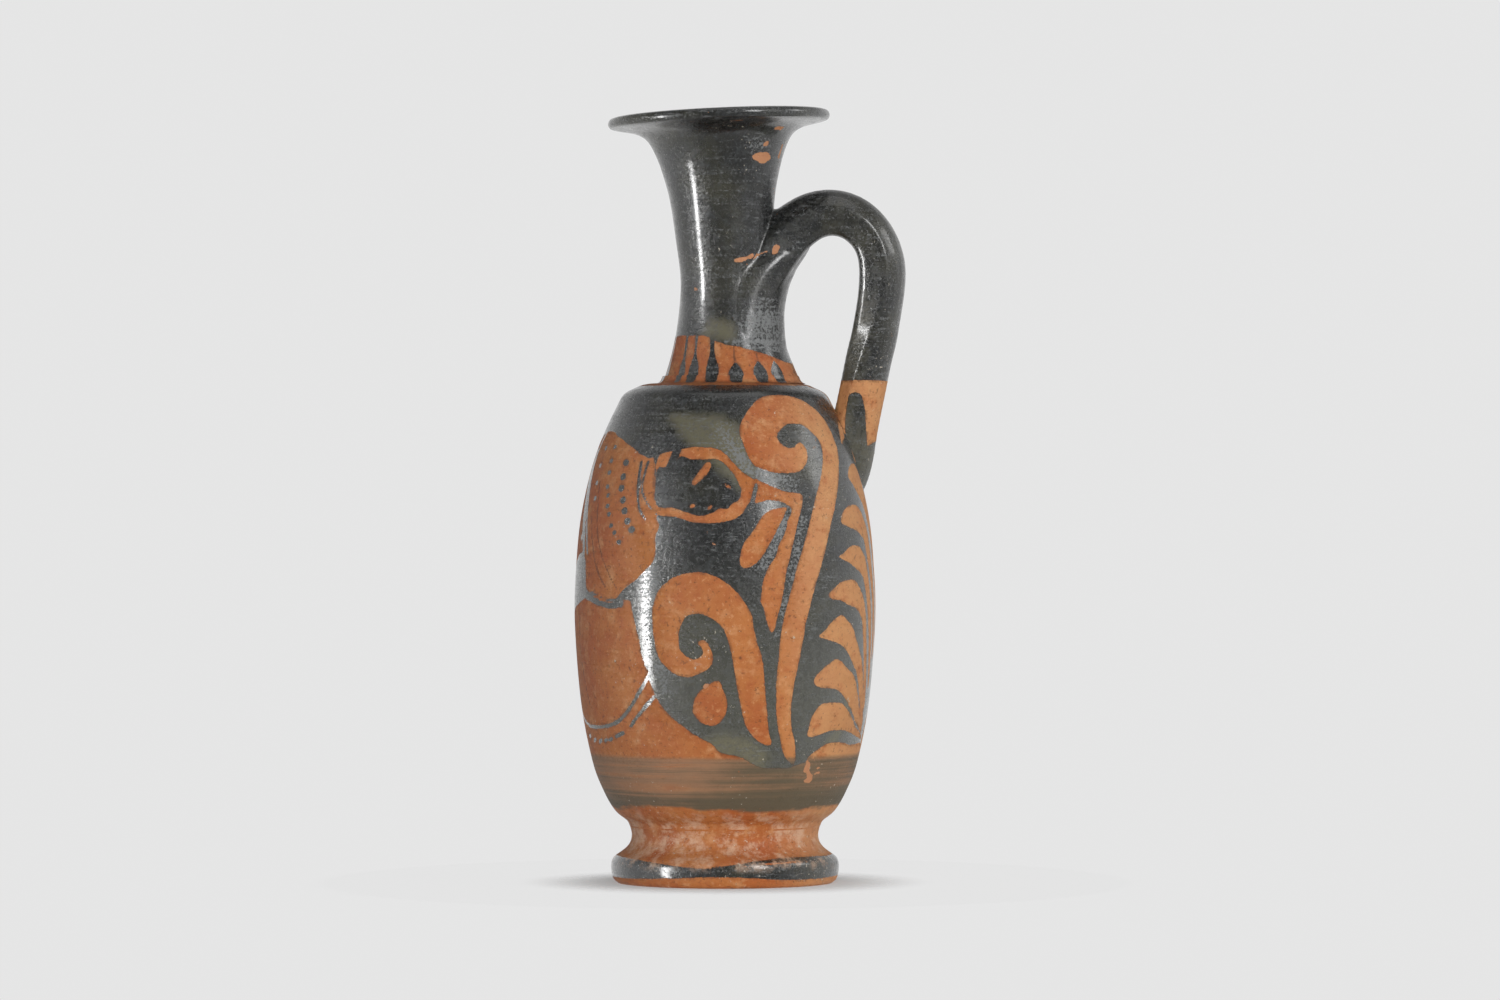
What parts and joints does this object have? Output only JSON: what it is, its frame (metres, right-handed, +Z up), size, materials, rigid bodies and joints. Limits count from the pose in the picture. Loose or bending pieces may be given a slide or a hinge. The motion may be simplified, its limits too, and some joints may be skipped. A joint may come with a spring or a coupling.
{
  "type": "ceramic oil jug",
  "caption": "Small footed ceramic oil jug with an ovoid body, a narrow neck flaring to a flat lip, and one strap handle; black gloss with clay-coloured figures.",
  "frame": {"origin": "centre of the ring that the foot stands on, on the axis of the body", "axes": "+Z up, along the axis of the body; +X towards the handle"},
  "size_m": [0.0865, 0.0784, 0.2015],
  "materials": {
    "painted_body": "worn black gloss slip with reserved terracotta figures",
    "black_gloss": "worn black gloss slip",
    "bare_clay": "matt fired terracotta with a slip-painted edge"
  },
  "bodies": {
    "root": {"foot": "bare_clay", "foot_luting": "bare_clay", "body": "painted_body", "neck": "black_gloss", "neck_luting": "bare_clay", "handle": "black_gloss", "handle_upper_luting": "black_gloss", "handle_lower_luting": "black_gloss"}
  },
  "joints": []
}
